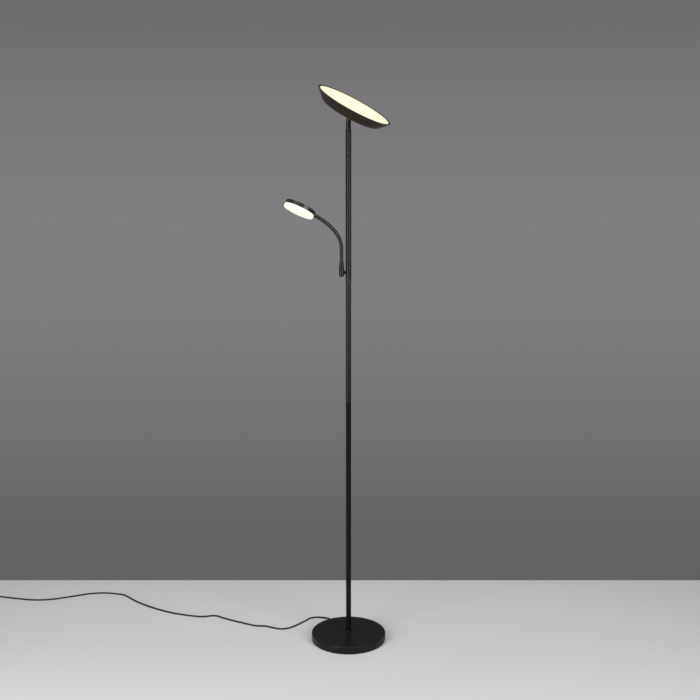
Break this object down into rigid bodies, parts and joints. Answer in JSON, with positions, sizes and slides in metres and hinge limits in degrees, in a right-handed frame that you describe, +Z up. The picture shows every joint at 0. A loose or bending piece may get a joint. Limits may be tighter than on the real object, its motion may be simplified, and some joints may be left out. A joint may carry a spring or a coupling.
{
  "type": "torchiere floor lamp",
  "caption": "Floor lamp with a round weighted base, a slim pole, a tilting and swivelling shallow bowl uplighter, a gooseneck reading arm, and a mains lead with its plug.",
  "frame": {"origin": "centre of the base's underside, on the floor", "axes": "+Z up along the pole; +X to the right and -Y towards the viewer when the reading arm is on the left; the lead runs off towards -X"},
  "size_m": [1.5307, 0.5214, 1.804],
  "materials": {
    "powder_black": "matte powder coat with a fine texture",
    "satin_black": "satin black paint",
    "gooseneck": "ribbed flexible tube, black",
    "black_plated": "satin black plating",
    "cast_iron": "rough casting, primed",
    "steel": "zinc plated",
    "nickel": "nickel plated",
    "aluminium": "plain sheet",
    "black_plastic": "fine moulded grain",
    "cable": "soft black sheath, slight sheen",
    "board": "white solder mask",
    "led": "phosphor lens, lit",
    "diffuser": "opal, lit from behind",
    "pad": "felt"
  },
  "bodies": {
    "stand": {"base_cover": "powder_black", "base_weight": "cast_iron", "base_pad": "pad", "base_collar": "powder_black", "base_stud": "steel", "base_washer": "steel", "base_nut": "steel", "cord_gland": "black_plastic", "inner_lead": "cable", "bottom_tube": "powder_black", "lower_tube": "powder_black", "middle_tube": "powder_black", "upper_tube": "powder_black", "tube_inserts": "aluminium", "touch_ring": "black_plated", "touch_insulators": "black_plastic", "top_bush": "black_plastic", "arm_stub": "powder_black", "stub_saddle": "steel", "stub_nut": "steel", "arm_socket": "powder_black", "socket_cap": "powder_black", "cord_lead": "cable", "cord_coil": "cable", "plug_body": "cable", "plug_pins": "nickel"},
    "arm_base": {"arm_spindle": "powder_black", "spindle_nut": "steel", "gooseneck_link_1": "gooseneck"},
    "neck_2": {"gooseneck_link_2": "gooseneck"},
    "neck_3": {"gooseneck_link_3": "gooseneck"},
    "neck_4": {"gooseneck_link_4": "gooseneck"},
    "neck_5": {"gooseneck_link_5": "gooseneck"},
    "neck_6": {"gooseneck_link_6": "gooseneck"},
    "neck_7": {"gooseneck_link_7": "gooseneck"},
    "reading_head": {"gooseneck_link_8": "gooseneck", "read_ferrule": "satin_black", "read_nut": "steel", "read_housing": "satin_black", "read_plate": "aluminium", "read_board": "board", "read_leds": "led", "read_screws": "steel", "read_diffuser": "diffuser"},
    "swivel_neck": {"neck_stem": "powder_black", "swivel_nut": "steel", "tilt_screw": "black_plated", "tilt_nut": "black_plated", "tilt_washers": "black_plastic"},
    "uplighter": {"tilt_bracket": "powder_black", "head_bowl": "powder_black", "head_spacers": "steel", "head_tray": "aluminium", "head_screws": "steel", "head_board": "board", "head_leds": "led", "head_driver": "black_plastic", "head_lead": "cable", "head_diffuser": "diffuser", "head_rim": "powder_black"}
  },
  "joints": [
    {"name": "arm_swivel", "type": "hinge", "parent": "stand", "child": "arm_base", "pos_m": [-0.022, 0, 1.24], "axis": [0, 0, 1], "range_deg": [-145, 95]},
    {"name": "bend_1", "type": "hinge", "parent": "arm_base", "child": "neck_2", "pos_m": [-0.022, 0, 1.2789], "axis": [0.4226, -0.9063, 0], "range_deg": [-4, 12]},
    {"name": "bend_2", "type": "hinge", "parent": "neck_2", "child": "neck_3", "pos_m": [-0.02237, -0.00017, 1.3022], "axis": [0.4226, -0.9063, 0], "range_deg": [-4, 12]},
    {"name": "bend_3", "type": "hinge", "parent": "neck_3", "child": "neck_4", "pos_m": [-0.02691, -0.00229, 1.32482], "axis": [0.4226, -0.9063, 0], "range_deg": [-4, 12]},
    {"name": "bend_4", "type": "hinge", "parent": "neck_4", "child": "neck_5", "pos_m": [-0.03745, -0.0072, 1.34494], "axis": [0.4226, -0.9063, 0], "range_deg": [-4, 12]},
    {"name": "bend_5", "type": "hinge", "parent": "neck_5", "child": "neck_6", "pos_m": [-0.05156, -0.01378, 1.36224], "axis": [0.4226, -0.9063, 0], "range_deg": [-4, 12]},
    {"name": "bend_6", "type": "hinge", "parent": "neck_6", "child": "neck_7", "pos_m": [-0.06773, -0.02132, 1.37721], "axis": [0.4226, -0.9063, 0], "range_deg": [-4, 12]},
    {"name": "bend_7", "type": "hinge", "parent": "neck_7", "child": "reading_head", "pos_m": [-0.08523, -0.02948, 1.39023], "axis": [0.4226, -0.9063, 0], "range_deg": [-4, 12]},
    {"name": "head_swivel", "type": "hinge", "parent": "stand", "child": "swivel_neck", "pos_m": [0, 0, 1.666], "axis": [0, 0, 1], "range_deg": [-170, 170]},
    {"name": "head_tilt", "type": "hinge", "parent": "swivel_neck", "child": "uplighter", "pos_m": [0, 0, 1.704], "axis": [0.4493, 0.8934, 0], "range_deg": [-115.5, 54.5]}
  ],
  "couplings": [
    {"joint": "bend_2", "follows": "bend_1", "ratio": 1},
    {"joint": "bend_3", "follows": "bend_1", "ratio": 1},
    {"joint": "bend_4", "follows": "bend_1", "ratio": 1},
    {"joint": "bend_5", "follows": "bend_1", "ratio": 1},
    {"joint": "bend_6", "follows": "bend_1", "ratio": 1},
    {"joint": "bend_7", "follows": "bend_1", "ratio": 1}
  ]
}
